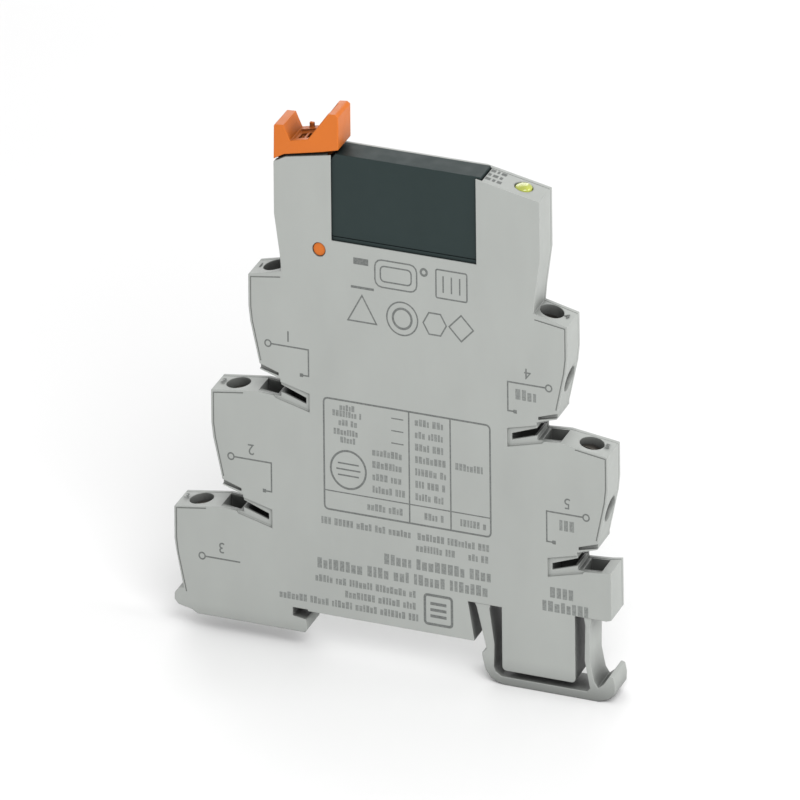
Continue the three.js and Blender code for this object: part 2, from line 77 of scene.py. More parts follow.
# ------------------------------------------------------------------ places, from the frame

FRONT_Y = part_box("housing_shell")[0].y     # printed side of the housing
FLOOR_Z = CAD_BOX[0].z
STEP = Vector((7.05 * MM, 0, 20.85 * MM))  # from one terminal step to the next one up
MIRROR_X = 3.75 * MM                       # the terminal steps are symmetrical about this plane
STEP_TILT = math.radians(11.2)             # slope of a terminal step's top

# The picture: a level camera with a shifted lens, so that verticals stay upright.
VIEW_YAW = math.radians(21.2)
VIEW_SLOPE = 0.4685                        # tangent of the angle looked down at
VIEW_ROLL = math.radians(0.58)
VIEW_DISTANCE = 2.0
VIEW_WIDTH = 0.1358                        # width of the picture at the object
VIEW_AIM = Vector((2.35 * MM, FRONT_Y, 38.74 * MM))
SENSOR = 36.0
CLIP_END = 20.0


# ------------------------------------------------------------------ materials

NOISE_LOW, NOISE_HIGH = 0.3, 0.7           # between these lies nearly all of a noise's range
# Painted edge highlight: its reach, and the cosines between which it fades in.
EDGE_HIGHLIGHT_REACH = 0.2 * MM
EDGE_HIGHLIGHT_BEGINS, EDGE_HIGHLIGHT_FULL = 0.99, 0.8         # cosine between the rounded and the true normal
# Painted shade in holes and gaps: how much of the sky a point sees, how far it looks, how dark it
# gets.
SKY_SHUT, SKY_OPEN = 0.25, 0.97            # open share of the sky in a deep hole, on a flat face
RECESS_REACH = 5 * MM
PAINTED_SHADE_DARKEST = {"plastic": 0.15, "metal": 0.2}


class Shader:
    """A node material in the making, with the few nodes that every finish here uses."""

    def __init__(self, name):
        self.material = bpy.data.materials.new(name)
        self.material.use_nodes = True
        self.nodes = self.material.node_tree.nodes
        self.links = self.material.node_tree.links
        self.surface = self.nodes["Principled BSDF"]
        self.place = self.nodes.new("ShaderNodeTexCoord").outputs["Object"]

    def link(self, source, target):
        self.links.new(source, target)

    def set(self, **values):
        for key, value in values.items():
            self.surface.inputs[key.replace("_", " ")].default_value = value

    def noise(self, size, detail=2.0, stretch=None):
        """Noise whose features are about `size` metres across, longer along `stretch`."""
        node = self.nodes.new("ShaderNodeTexNoise")
        node.inputs["Scale"].default_value = 1.0 / size
        node.inputs["Detail"].default_value = detail
        source = self.place
        if stretch:
            mapping = self.nodes.new("ShaderNodeMapping")
            mapping.inputs["Scale"].default_value = stretch
            self.link(source, mapping.inputs["Vector"])
            source = mapping.outputs["Vector"]
        self.link(source, node.inputs["Vector"])
        return node.outputs["Fac"]

    def ramp(self, factor, low, high):
        """Turns noise into a blend of two colours."""
        node = self.nodes.new("ShaderNodeValToRGB")
        stops = node.color_ramp.elements
        for stop, position, colour in ((stops[0], NOISE_LOW, low), (stops[1], NOISE_HIGH, high)):
            stop.position = position
            stop.color = (*colour, 1)
        self.link(factor, node.inputs["Fac"])
        return node.outputs["Color"]

    def remap(self, factor, low, high, from_low=NOISE_LOW, from_high=NOISE_HIGH):
        """Turns a value between `from_low` and `from_high` into one between `low` and `high`."""
        node = self.nodes.new("ShaderNodeMapRange")
        node.inputs["From Min"].default_value = from_low
        node.inputs["From Max"].default_value = from_high
        node.inputs["To Min"].default_value = low
        node.inputs["To Max"].default_value = high
        self.link(factor, node.inputs["Value"])
        return node.outputs["Result"]

    def bump(self, height, depth, strength=1.0, before=None):
        node = self.nodes.new("ShaderNodeBump")
        node.inputs["Distance"].default_value = depth
        node.inputs["Strength"].default_value = strength
        self.link(height, node.inputs["Height"])
        if before:
            self.link(before, node.inputs["Normal"])
        return node.outputs["Normal"]

    def edge_wear(self, colour, highlighted, amount):
        """Painted highlight: mixes a lighter colour in along edges."""
        rounded = self.nodes.new("ShaderNodeBevel")
        rounded.samples = 4
        rounded.inputs["Radius"].default_value = EDGE_HIGHLIGHT_REACH
        geometry = self.nodes.new("ShaderNodeNewGeometry")
        turned = self.nodes.new("ShaderNodeVectorMath")
        turned.operation = "DOT_PRODUCT"
        self.link(rounded.outputs["Normal"], turned.inputs[0])
        self.link(geometry.outputs["Normal"], turned.inputs[1])
        mask = self.remap(turned.outputs["Value"], 0.0, amount, EDGE_HIGHLIGHT_BEGINS, EDGE_HIGHLIGHT_FULL)
        mix = self.nodes.new("ShaderNodeMix")
        mix.data_type = "RGBA"
        mix.inputs["B"].default_value = (*highlighted, 1)
        self.link(mask, mix.inputs["Factor"])
        self.link(colour, mix.inputs["A"])
        return mix.outputs["Result"]

    def in_recesses(self, colour, darkest):
        """Painted shade: darkens the colour in holes and narrow gaps, where less light comes back
        out.
        """
        open_sky = self.nodes.new("ShaderNodeAmbientOcclusion")
        open_sky.samples = 8
        open_sky.inputs["Distance"].default_value = RECESS_REACH
        shade = self.remap(open_sky.outputs["AO"], darkest, 1.0, SKY_SHUT, SKY_OPEN)
        mix = self.nodes.new("ShaderNodeMix")
        mix.data_type = "RGBA"
        mix.blend_type = "MULTIPLY"
        mix.inputs["Factor"].default_value = 1.0
        self.link(colour, mix.inputs["A"])
        self.link(shade, mix.inputs["B"])
        return mix.outputs["Result"]


def tone(colour, factor):
    """The colour made darker or paler, without going past white."""
    return tuple(min(1.0, c * factor) for c in colour)


def moulded_plastic(name, colour, roughness, edge_highlight=0.25, shine=0.42):
    """Injection-moulded plastic: eroded mould texture, faint flow marks, a painted highlight along
    the edges and painted shade in recesses.
    """
    flow_size, handled_size, sink_size, grain_size = 9 * MM, 2.2 * MM, 6 * MM, 0.16 * MM
    sink_depth, grain_depth = 0.02 * MM, 0.006 * MM
    s = Shader(name)
    flow = s.noise(flow_size, 3.0, stretch=(1, 1, 0.45))
    body = s.ramp(flow, tone(colour, 0.965), tone(colour, 1.035))
    # Painted highlight along the edges, then painted shade in holes and gaps.
    highlighted = s.edge_wear(body, tone(colour, 1.25), edge_highlight)
    s.link(s.in_recesses(highlighted, PAINTED_SHADE_DARKEST["plastic"]), s.surface.inputs["Base Color"])
    s.link(s.remap(s.noise(handled_size, 2.0), roughness - 0.04, roughness + 0.05),
           s.surface.inputs["Roughness"])
    sinks = s.bump(s.noise(sink_size, 1.0), sink_depth, 0.35)
    s.link(s.bump(s.noise(grain_size, 3.0), grain_depth, 0.8, sinks), s.surface.inputs["Normal"])
    s.set(Specular_IOR_Level=shine)
    return s.material


def plated_metal(name, colour, roughness, brushed=0.0):
    """Plated or bright metal with fine drawing marks and small stains, and painted shade in
    recesses.
    """
    stain_size, haze_size, scratch_size, scratch_depth = 1.5 * MM, 0.5 * MM, 0.12 * MM, 0.006 * MM
    s = Shader(name)
    tarnished = s.ramp(s.noise(stain_size, 4.0), tone(colour, 0.82), colour)
    # Painted shade in holes and gaps.
    s.link(s.in_recesses(tarnished, PAINTED_SHADE_DARKEST["metal"]), s.surface.inputs["Base Color"])
    s.link(s.remap(s.noise(haze_size, 3.0), roughness - 0.06, roughness + 0.12),
           s.surface.inputs["Roughness"])
    scratches = s.noise(scratch_size, 2.0, stretch=(1, 6, 0.25 + brushed))
    s.link(s.bump(scratches, scratch_depth, 0.6), s.surface.inputs["Normal"])
    s.set(Metallic=1.0)
    return s.material


def clear_lens(name, colour):
    """Tinted clear moulding of the light guide."""
    tint_size, haze_size, ripple_size, ripple_depth = 1.2 * MM, 0.8 * MM, 0.5 * MM, 0.01 * MM
    s = Shader(name)
    s.link(s.ramp(s.noise(tint_size, 2.0), tone(colour, 0.85), tone(colour, 1.1)),
           s.surface.inputs["Base Color"])
    s.link(s.remap(s.noise(haze_size), 0.08, 0.2), s.surface.inputs["Roughness"])
    s.link(s.bump(s.noise(ripple_size, 1.0), ripple_depth, 0.5), s.surface.inputs["Normal"])
    s.set(Transmission_Weight=0.35, IOR=1.49, Coat_Weight=0.4)
    return s.material


def wound_wire(name, colour):
    """Enamelled wire wound round the X axis: fine even turns."""
    turn_size, turn_depth = 0.75 * MM, 0.06 * MM
    s = Shader(name)
    wave = s.nodes.new("ShaderNodeTexWave")
    wave.bands_direction = "X"
    wave.inputs["Scale"].default_value = 1.0 / turn_size
    wave.inputs["Distortion"].default_value = 0.6
    s.link(s.place, wave.inputs["Vector"])
    # The darker bands are painted shade in the grooves between turns.
    s.link(s.ramp(wave.outputs["Fac"], tone(colour, 0.6), colour), s.surface.inputs["Base Color"])
    s.link(s.bump(wave.outputs["Fac"], turn_depth), s.surface.inputs["Normal"])
    s.set(Metallic=0.6, Roughness=0.28, Coat_Weight=0.5)
    return s.material


def solder_mask(name, colour):
    """Circuit board: green mask over faint tracks."""
    track_size, track_depth = 8 * MM, 0.03 * MM
    s = Shader(name)
    brick = s.nodes.new("ShaderNodeTexBrick")
    brick.inputs["Scale"].default_value = 1.0 / track_size
    brick.inputs["Color1"].default_value = (*colour, 1)
    brick.inputs["Color2"].default_value = (*tone(colour, 1.25), 1)
    brick.inputs["Mortar"].default_value = (*tone(colour, 1.7), 1)
    s.link(s.place, brick.inputs["Vector"])
    s.link(brick.outputs["Color"], s.surface.inputs["Base Color"])
    s.link(s.bump(brick.outputs["Fac"], track_depth, 0.6), s.surface.inputs["Normal"])
    s.set(Roughness=0.35)
    return s.material


def laser_mark(name, colour):
    """Marking burnt into the plastic: uneven grey with a dry surface."""
    mottle_size, burn_size, burn_depth = 0.25 * MM, 0.12 * MM, 0.004 * MM
    s = Shader(name)
    s.link(s.ramp(s.noise(mottle_size, 4.0), tone(colour, 0.8), tone(colour, 1.25)),
           s.surface.inputs["Base Color"])
    s.link(s.bump(s.noise(burn_size), burn_depth), s.surface.inputs["Normal"])
    s.set(Roughness=0.75, Specular_IOR_Level=0.25)
    return s.material


def studio_floor(name):
    """A pale sheet that glows a little away from the lamps, so that it stays pale to its end."""
    pale, paler, mottle_size = (0.75, 0.75, 0.75), (0.78, 0.78, 0.78), 0.15
    glow_from, glow_full, glow_strength = 0.3, 1.2, 0.5
    s = Shader(name)
    s.link(s.ramp(s.noise(mottle_size, 2.0), pale, paler), s.surface.inputs["Base Color"])
    distance = s.nodes.new("ShaderNodeVectorMath")
    distance.operation = "LENGTH"
    s.link(s.place, distance.inputs[0])
    glow = s.remap(distance.outputs["Value"], 0.0, glow_strength, glow_from, glow_full)
    s.link(glow, s.surface.inputs["Emission Strength"])
    s.set(Roughness=0.7, Emission_Color=(1, 1, 1, 1))
    return s.material


HOUSING_GREY = (0.312, 0.325, 0.31)
LEVER_ORANGE = (0.52, 0.128, 0.012)
RELAY_SLATE = (0.02, 0.031, 0.0305)
# edge_highlight sets the strength of the painted edge highlight.
FINISHES = {
    "housing_plastic": moulded_plastic("housing_plastic", HOUSING_GREY, 0.5),
    "lever_plastic": moulded_plastic("lever_plastic", LEVER_ORANGE, 0.45, edge_highlight=0.12, shine=0.3),
    "relay_plastic": moulded_plastic("relay_plastic", RELAY_SLATE, 0.55, edge_highlight=0.1, shine=0.16),
    "clear_plastic": clear_lens("clear_plastic", (0.55, 0.6, 0.1)),
    "led_body": clear_lens("led_body", (0.8, 0.82, 0.55)),
    "board": solder_mask("board", (0.02, 0.12, 0.05)),
    "pale_plastic": moulded_plastic("pale_plastic", (0.66, 0.6, 0.46), 0.45),
    "black_plastic": moulded_plastic("black_plastic", (0.02, 0.02, 0.022), 0.42),
    "copper_wire": wound_wire("copper_wire", (0.72, 0.26, 0.09)),
    "magnet_iron": plated_metal("magnet_iron", (0.5, 0.5, 0.49), 0.36, brushed=0.5),
    "screw_steel": plated_metal("screw_steel", (0.24, 0.22, 0.195), 0.36),
    "cage_steel": plated_metal("cage_steel", (0.5, 0.5, 0.48), 0.34),
    "tinned_contact": plated_metal("tinned_contact", (0.66, 0.66, 0.63), 0.3),
    "contact_brass": plated_metal("contact_brass", (0.72, 0.52, 0.22), 0.28),
}
MARK = laser_mark("laser_mark", (0.13, 0.137, 0.132))
PALE_MARK = laser_mark("pale_laser_mark", (0.185, 0.195, 0.187))


def material_slots():
    return {row["node"]: row["material_slot"] for row in frame["record"]["subparts"]}


def dress_cad_nodes():
    slots = material_slots()
    for name, node in frame["nodes"].items():
        node.data.materials.clear()
        node.data.materials.append(FINISHES[slots[name]])


# ------------------------------------------------------------------ moulded edges

# Outer mouldings, remade with edges rounded as far as their finer outlines allow: node, body,
# edge radius.
MOULDINGS = [
    ("housing_shell", "base", 0.14 * MM),
    ("housing_cover", "base", 0.14 * MM),
    ("retaining_lever", "lever", 0.18 * MM),
    ("relay_case", "relay", 0.16 * MM),
]
SMALL_EDGE = 0.05 * MM
EDGE_STEPS = 2
SHARP_FROM = math.radians(28)
FLAT_WITHIN = math.radians(0.6)
WELD_WITHIN = 0.0005 * MM
ROOM_USED = 0.42           # share of the free room beside an edge that its rounding may take
LEAST_SHARE = 0.05         # an edge with less room than this share of the rounding stays sharp
FLAT_FACE_WEIGHT = 90      # above 50, the larger faces count for more in the shading


def plain_copy(node_name):
    """The node's surface with its split corners joined and its flat faces whole."""
    mesh = bmesh.new()
    mesh.from_mesh(frame["nodes"][node_name].data)
    bmesh.ops.remove_doubles(mesh, verts=mesh.verts, dist=WELD_WITHIN)
    bmesh.ops.dissolve_limit(mesh, angle_limit=FLAT_WITHIN, verts=mesh.verts, edges=mesh.edges)
    return mesh


def room_between(edge, other):
    """Least distance between two edges of one flat face that don't meet."""
    gaps = []
    for first, second in ((edge, other), (other, edge)):
        a, b = (vert.co for vert in second.verts)
        for vert in first.verts:
            along = max(0.0, min(1.0, intersect_point_line(vert.co, a, b)[1]))
            gaps.append((vert.co - a.lerp(b, along)).length)
    return min(gaps)


def weigh_sharp_edges(mesh, radius):
    """Marks the sharp edges for rounding, less where an edge is short or a face is narrow."""
    weight = mesh.edges.layers.float.new("bevel_weight_edge")
    sharp = {edge for edge in mesh.edges if edge.calc_face_angle(0.0) > SHARP_FROM}
    for edge in sharp:
        room = min(near.calc_length() for end in edge.verts for near in end.link_edges)
        for face in edge.link_faces:
            for other in face.edges:
                if not set(edge.verts) & set(other.verts):
                    room = min(room, room_between(edge, other))
        share = min(1.0, ROOM_USED * room / radius)
        edge.smooth = share > LEAST_SHARE
        edge[weight] = share if edge.smooth else 0.0


def add_piece(name, mesh, material):
    """Makes an object of the mesh, which is used up."""
    data = bpy.data.meshes.new(name)
    mesh.to_mesh(data)
    mesh.free()
    data.materials.append(material)
    piece = bpy.data.objects.new(name, data)
    bpy.context.scene.collection.objects.link(piece)
    return piece


def add_rounding(piece, radius, limit):
    """Rounded edges, shaded so that the flat faces stay flat."""
    bevel = piece.modifiers.new("edge", "BEVEL")
    bevel.width = radius
    bevel.segments = EDGE_STEPS
    bevel.limit_method = limit
    bevel.angle_limit = SHARP_FROM
    bevel.use_clamp_overlap = False
    bevel.harden_normals = True
    for polygon in piece.data.polygons:
        polygon.use_smooth = True
    smooth = piece.modifiers.new("normals", "WEIGHTED_NORMAL")
    smooth.keep_sharp = True
    smooth.weight = FLAT_FACE_WEIGHT


# A fine groove runs round the outer edges of each upper terminal step, a little inside its
# outline. Places in mm, (x, z), for the left-hand step of the middle level.
STEP_GROOVE = [(-26.4, 35.35), (-31.85, 34.6), (-31.85, 29.5), (-31.55, 27.05), (-30.1, 20.6)]
GROOVE_HALF = 0.085
GROOVE_DEEP = 0.14
CUTTER_ABOVE = 0.5
GROOVED_STEPS = [(-1, -1), (-1, 0), (-1, 1), (1, 0), (1, 1)]   # side, levels up from the middle


def strip_sides(points, half, closed=False):
    """The two sides of a strip that follows the points, as wide at its corners as along them."""
    points = [Vector(point) for point in points]
    last = len(points) - 1
    sides = ([], [])
    for i, point in enumerate(points):
        before = (point - points[i - 1]).normalized() if i or closed else None
        after = (points[(i + 1) % len(points)] - point).normalized() if i < last or closed else None
        first, second = before or after, after or before
        along = (first + second).normalized()
        offset = Vector((-along.y, along.x)) * half / along.dot(first)
        sides[0].append(point + offset)
        sides[1].append(point - offset)
    return sides


def groove_cutter():
    """The solids to take away for the grooves."""
    mesh = bmesh.new()
    for side, level in GROOVED_STEPS:
        points = [(x + level * STEP.x / MM, z + level * STEP.z / MM) for x, z in STEP_GROOVE]
        if side > 0:
            points = [(2 * MIRROR_X / MM - x, z) for x, z in points]
        left, right = strip_sides(points, GROOVE_HALF)
        outline = left + right[::-1]
        near, far = ([mesh.verts.new((x * MM, FRONT_Y + y * MM, z * MM)) for x, z in outline]
                     for y in (-CUTTER_ABOVE, GROOVE_DEEP))
        for i in range(len(outline)):
            j = (i + 1) % len(outline)
            mesh.faces.new((near[i], near[j], far[j], far[i]))
        mesh.faces.new(near)
        mesh.faces.new(far)
    bmesh.ops.recalc_face_normals(mesh, faces=mesh.faces)
    return mesh


def engraved(mesh, cutter):
    """The mesh with the cutter's solids taken out of it."""
    piece = add_piece("uncut", mesh, FINISHES["housing_plastic"])
    tool = add_piece("cutter", cutter, FINISHES["housing_plastic"])
    cut = piece.modifiers.new("cut", "BOOLEAN")
    cut.operation = "DIFFERENCE"
    cut.solver = "EXACT"
    cut.object = tool
    result = bmesh.new()
    result.from_object(piece, bpy.context.evaluated_depsgraph_get())
    for scrap in (piece, tool):
        bpy.data.objects.remove(scrap)
    bmesh.ops.remove_doubles(result, verts=result.verts, dist=WELD_WITHIN)
    bmesh.ops.dissolve_limit(result, angle_limit=FLAT_WITHIN, verts=result.verts,
                             edges=result.edges)
    return result


def remake_mouldings():
    slots = material_slots()
    for node_name, body, radius in MOULDINGS:
        mesh = plain_copy(node_name)
        if node_name == "housing_shell":
            mesh = engraved(mesh, groove_cutter())
        weigh_sharp_edges(mesh, radius)
        piece = add_piece(node_name + "_moulding", mesh, FINISHES[slots[node_name]])
        add_rounding(piece, radius, "WEIGHT")
        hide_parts(node_name)
        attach(piece, body)


def soften_cad_nodes():
    """The pieces shown as they are in the CAD get a press's or a mould's small edge."""
    remade = {row[0] for row in MOULDINGS} | {"rail_foot"}
    for name, node in frame["nodes"].items():
        if name in remade:
            continue
        weld = node.modifiers.new("weld", "WELD")
        weld.merge_threshold = WELD_WITHIN
        flatten = node.modifiers.new("flatten", "DECIMATE")
        flatten.decimate_type = "DISSOLVE"
        flatten.angle_limit = FLAT_WITHIN
        add_rounding(node, SMALL_EDGE, "ANGLE")


# ------------------------------------------------------------------ printed side

MARK_RAISED = 0.012 * MM
MARK_SUNK = 0.02 * MM
DRAW_SEED = 7

# Rows of wordless blocks, in parts of a row's height.
BLOCK_WIDTHS = (0.3, 0.4, 0.45, 0.5)
BLOCK_HEIGHTS = (0.8, 1.0, 1.0)
BLOCK_GAP = 0.17
GROUP_GAP = 0.4
GROUP_SIZES = (3, 8)       # fewest and most blocks in a group


class MarkSheet:
    """Flat marks on a flat face, gathered as closed prisms. Places are in mm, (across, up)."""

    def __init__(self, origin, across, up):
        self.mesh = bmesh.new()
        self.origin = origin
        self.across = across * MM
        self.up = up * MM
        self.out = across.cross(up)

    def vert(self, point, height):
        x, z = point
        return self.mesh.verts.new(self.origin + self.across * x + self.up * z + self.out * height)

    def prism(self, outline):
        near = [self.vert(point, MARK_RAISED) for point in outline]
        far = [self.vert(point, -MARK_SUNK) for point in outline]
        self.mesh.faces.new(near)
        self.mesh.faces.new(far[::-1])
        count = len(outline)
        for i in range(count):
            j = (i + 1) % count
            self.mesh.faces.new((near[i], far[i], far[j], near[j]))

    def bar(self, x0, x1, z0, z1):
        self.prism([(x0, z0), (x1, z0), (x1, z1), (x0, z1)])

    def band(self, left, right, closed):
        """A strip between two lines of points, as one closed solid."""
        rows = []
        for a, b in zip(left, right):
            rows.append([self.vert(a, MARK_RAISED), self.vert(b, MARK_RAISED),
                         self.vert(b, -MARK_SUNK), self.vert(a, -MARK_SUNK)])
        for i in range(len(rows) if closed else len(rows) - 1):
            a, b = rows[i], rows[(i + 1) % len(rows)]
            for k in range(4):
                m = (k + 1) % 4
                self.mesh.faces.new((a[k], a[m], b[m], b[k]))
        if not closed:
            self.mesh.faces.new(rows[0])
            self.mesh.faces.new(rows[-1][::-1])

    def stroke(self, points, width, closed=False):
        self.band(*strip_sides(points, width / 2, closed), closed)

    def ring(self, x, z, radius, width, sides=40):
        self.polygon(x, z, radius, sides, width)

    def polygon(self, x, z, radius, sides, width, turn=0.0):
        angles = [turn + 2 * math.pi * k / sides for k in range(sides)]
        self.stroke([(x + radius * math.cos(a), z + radius * math.sin(a)) for a in angles],
                    width, closed=True)

    def rectangle(self, x0, x1, z0, z1, corner, width):
        """The outline of a rectangle with round corners."""
        points = []
        for cx, cz, start in ((x1 - corner, z1 - corner, 0), (x0 + corner, z1 - corner, 90),
                              (x0 + corner, z0 + corner, 180), (x1 - corner, z0 + corner, 270)):
            for turn in (0, 30, 60, 90):
                angle = math.radians(start + turn)
                points.append((cx + corner * math.cos(angle), cz + corner * math.sin(angle)))
        self.stroke(points, width, closed=True)

    def greeked(self, x0, x1, z, height, draw):
        """A row of wordless blocks in place of lettering."""
        x = x0
        low = z - height / 2
        while x < x1 - GROUP_GAP * height:
            for _ in range(draw.randint(*GROUP_SIZES)):
                width = height * draw.choice(BLOCK_WIDTHS)
                if x + width > x1:
                    break
                self.bar(x, x + width, low, low + height * draw.choice(BLOCK_HEIGHTS))
                x += width + BLOCK_GAP * height
            x += GROUP_GAP * height

    def finish(self, name, material):
        bmesh.ops.recalc_face_normals(self.mesh, faces=self.mesh.faces)
        piece = add_piece(name, self.mesh, material)
        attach(piece, "base")


# Places and sizes of the marks in mm, on the printed side (x, z), where nothing else is said.
LINE = 0.24
THIN_LINE = 0.18
TINY_TEXT = 1.0
SMALL_TEXT = 1.15
LARGE_TEXT = 1.75

# Terminal symbols: centre of the small ring, then the line's corners, ending at the contact mark.
TERMINAL_LINES = [
    [(-21.7, 44.6), (-14.3, 44.6), (-14.3, 40.1), (-15.6, 40.1)],
    [(-28.7, 24.2), (-21.3, 24.2), (-21.3, 19.3), (-22.6, 19.3)],
    [(-34.2, 6.3), (-27.2, 6.3)],
    [(29.3, 45.0), (21.9, 45.0), (21.9, 40.1), (23.2, 40.1)],
    [(35.8, 24.2), (28.7, 24.2), (28.7, 19.1), (30.0, 19.1)],
]
TERMINAL_NUMBERS = [(-18.0, 46.4), (-25.0, 26.0), (-30.6, 8.3), (25.5, 46.9), (32.4, 26.1)]
TERMINAL_RING = 0.55
CONTACT_HALF = 0.3
SIDE_NUMBER_HIGH = 2.6 * MM


def terminal_symbols(sheet):
    """A small ring, a line and a contact mark beside each terminal."""
    for points in TERMINAL_LINES:
        (x, z), (next_x, _) = points[0], points[1]
        sheet.ring(x, z, TERMINAL_RING, LINE, sides=20)
        line = [(x + math.copysign(TERMINAL_RING + LINE / 2, next_x - x), z)] + points[1:]
        if len(points) > 2:
            end_x, end_z = points[-1]
            sheet.bar(end_x - CONTACT_HALF, end_x + CONTACT_HALF,
                      end_z - CONTACT_HALF, end_z + CONTACT_HALF)
            line[-1] = (end_x + math.copysign(CONTACT_HALF, points[-2][0] - end_x), end_z)
        sheet.stroke(line, LINE)


TABLE = (-11.6, 18.6, 18.1, 37.0)     # left, right, bottom, top
TABLE_COLUMNS = (3.9, 11.4)
TABLE_HEADING = 21.3                  # the line over the heading row
TABLE_ROWS = [22.8 + 2.1 * row for row in range(7)]
NAMED_ROWS = 4                        # of these, the ones that also have blocks on their left
HEADING_ROW = 19.7
HEADING_TEXT = ((-3.8, 2.9), (6.6, 10.6), (13.1, 17.9))   # ends
SEAL_X, SEAL_Z, SEAL_RADIUS = -7.2, 25.3, 3.2
SEAL_BARS = ((26.3, 1.9), (25.3, 2.2), (24.3, 1.9))       # height, half length
SEAL_TEXT = ((30.3, 1.4), (31.6, 2.6), (33.2, 1.7), (34.7, 2.8), (35.8, 1.5))


def table_lines(sheet):
    x0, x1, z0, z1 = TABLE
    border = LINE * 1.2
    sheet.rectangle(x0, x1, z0, z1, 0.7, border)
    for x in TABLE_COLUMNS:
        sheet.bar(x - LINE / 2, x + LINE / 2, z0 + border / 2, z1 - border / 2)
    edges = (x0 + (border - LINE) / 2, *TABLE_COLUMNS, x1 - (border - LINE) / 2)
    for left, right in zip(edges, edges[1:]):
        sheet.bar(left + LINE / 2, right - LINE / 2, TABLE_HEADING - THIN_LINE / 2,
                  TABLE_HEADING + THIN_LINE / 2)


def data_table(sheet, text, draw):
    """The module's table: a frame, columns, a heading row and rows of wordless blocks."""
    table_lines(sheet)
    for row, z in enumerate(TABLE_ROWS):
        text.greeked(5.0, 10.6, z, SMALL_TEXT, draw)
        if row < NAMED_ROWS:
            text.greeked(-2.8, 3.1, z, SMALL_TEXT, draw)
        else:
            sheet.bar(0.7, 2.9, z - THIN_LINE / 2, z + THIN_LINE / 2)
    text.greeked(12.3, 17.8, TABLE_ROWS[3], SMALL_TEXT, draw)
    for x0, x1 in HEADING_TEXT:
        text.greeked(x0, x1, HEADING_ROW, SMALL_TEXT, draw)
    sheet.ring(SEAL_X, SEAL_Z, SEAL_RADIUS, LINE * 1.4)
    for z, half in SEAL_BARS:
        sheet.bar(SEAL_X - half, SEAL_X + half, z - LINE / 2, z + LINE / 2)
    for z, half in SEAL_TEXT:
        text.greeked(SEAL_X - half, SEAL_X + half, z, TINY_TEXT, draw)


# Rows of blocks under the table, at the foot block and beside two terminals: ends, middle, height.
TEXT_LINES = [
    (-12.2, 4.6, 16.1, SMALL_TEXT), (5.3, 18.6, 16.1, SMALL_TEXT),
    (5.0, 12.4, 14.1, SMALL_TEXT), (14.5, 18.6, 14.1, SMALL_TEXT),
    (-0.8, 18.6, 11.3, LARGE_TEXT), (-13.0, 18.6, 8.7, LARGE_TEXT),
    (-13.4, 5.2, 6.1, SMALL_TEXT), (-8.0, 5.4, 4.1, SMALL_TEXT), (-20.0, 5.4, 2.2, SMALL_TEXT),
    (29.2, 34.6, 10.6, LARGE_TEXT), (27.8, 37.0, 8.2, LARGE_TEXT),
    (23.3, 27.2, 43.1, LARGE_TEXT), (31.0, 33.7, 22.2, LARGE_TEXT),
]


def text_lines(sheet, text, draw):
    """The rows of blocks, and a plain sign of three bars in a frame at the end of the last ones."""
    for x0, x1, z, height in TEXT_LINES:
        text.greeked(x0, x1, z, height, draw)
    sheet.rectangle(6.5, 11.4, 1.6, 6.5, 0.5, LINE * 1.8)
    for z in (3.0, 4.05, 5.1):
        sheet.bar(7.5, 10.4, z - LINE, z + LINE)


def plain_signs(sheet):
    """Two rows of plain geometric signs where a module carries its approvals."""
    sheet.rectangle(-2.0, 5.6, 57.4, 62.0, 1.2, LINE)
    sheet.rectangle(-1.0, 4.6, 58.4, 61.0, 0.7, LINE)
    sheet.bar(-5.9, -3.2, 60.6, 61.7)
    sheet.ring(6.9, 61.1, 0.55, LINE * 1.6, sides=16)
    sheet.rectangle(9.1, 14.7, 57.2, 62.0, 0.3, LINE)
    for x in (10.4, 11.9, 13.4):
        sheet.stroke([(x, 58.2), (x, 61.0)], LINE)
    sheet.polygon(-4.4, 52.4, 3.0, 3, LINE, turn=math.pi / 2)
    sheet.bar(-6.4, -2.2, 56.5, 56.9)
    sheet.ring(2.9, 52.6, 2.8, LINE)
    sheet.ring(2.9, 52.6, 1.7, LINE * 1.6)
    sheet.polygon(8.8, 52.6, 2.1, 6, LINE)
    sheet.polygon(13.6, 52.6, 2.2, 4, LINE)


def number_mark(name, text, place, size, turn):
    """A terminal's number as a thin solid."""
    curve = bpy.data.curves.new(name, "FONT")
    curve.body = text
    curve.size = size
    curve.align_x = "CENTER"
    curve.align_y = "CENTER"
    curve.extrude = MARK_RAISED
    curve.resolution_u = 3
    curve.materials.append(MARK)
    piece = bpy.data.objects.new(name, curve)
    piece.matrix_world = Matrix.Translation(place) @ turn.to_4x4()
    bpy.context.scene.collection.objects.link(piece)
    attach(piece, "base")


def printed_side():
    """All the marks on the housing's printed side, which read upside down as the module stands."""
    draw = random.Random(DRAW_SEED)
    sheet, text = (MarkSheet(Vector((0, FRONT_Y, 0)), Vector((1, 0, 0)), Vector((0, 0, 1)))
                   for _ in range(2))
    terminal_symbols(sheet)
    data_table(sheet, text, draw)
    text_lines(sheet, text, draw)
    plain_signs(sheet)
    sheet.finish("printed_lines", MARK)
    text.finish("printed_text_blocks", PALE_MARK)
    upside_down = Matrix.Rotation(math.pi, 3, "Y") @ Matrix.Rotation(math.pi / 2, 3, "X")
    for number, (x, z) in enumerate(TERMINAL_NUMBERS, 1):
        number_mark(f"side_number_{number}", str(number), Vector((x * MM, FRONT_Y, z * MM)),
                    SIDE_NUMBER_HIGH, upside_down)


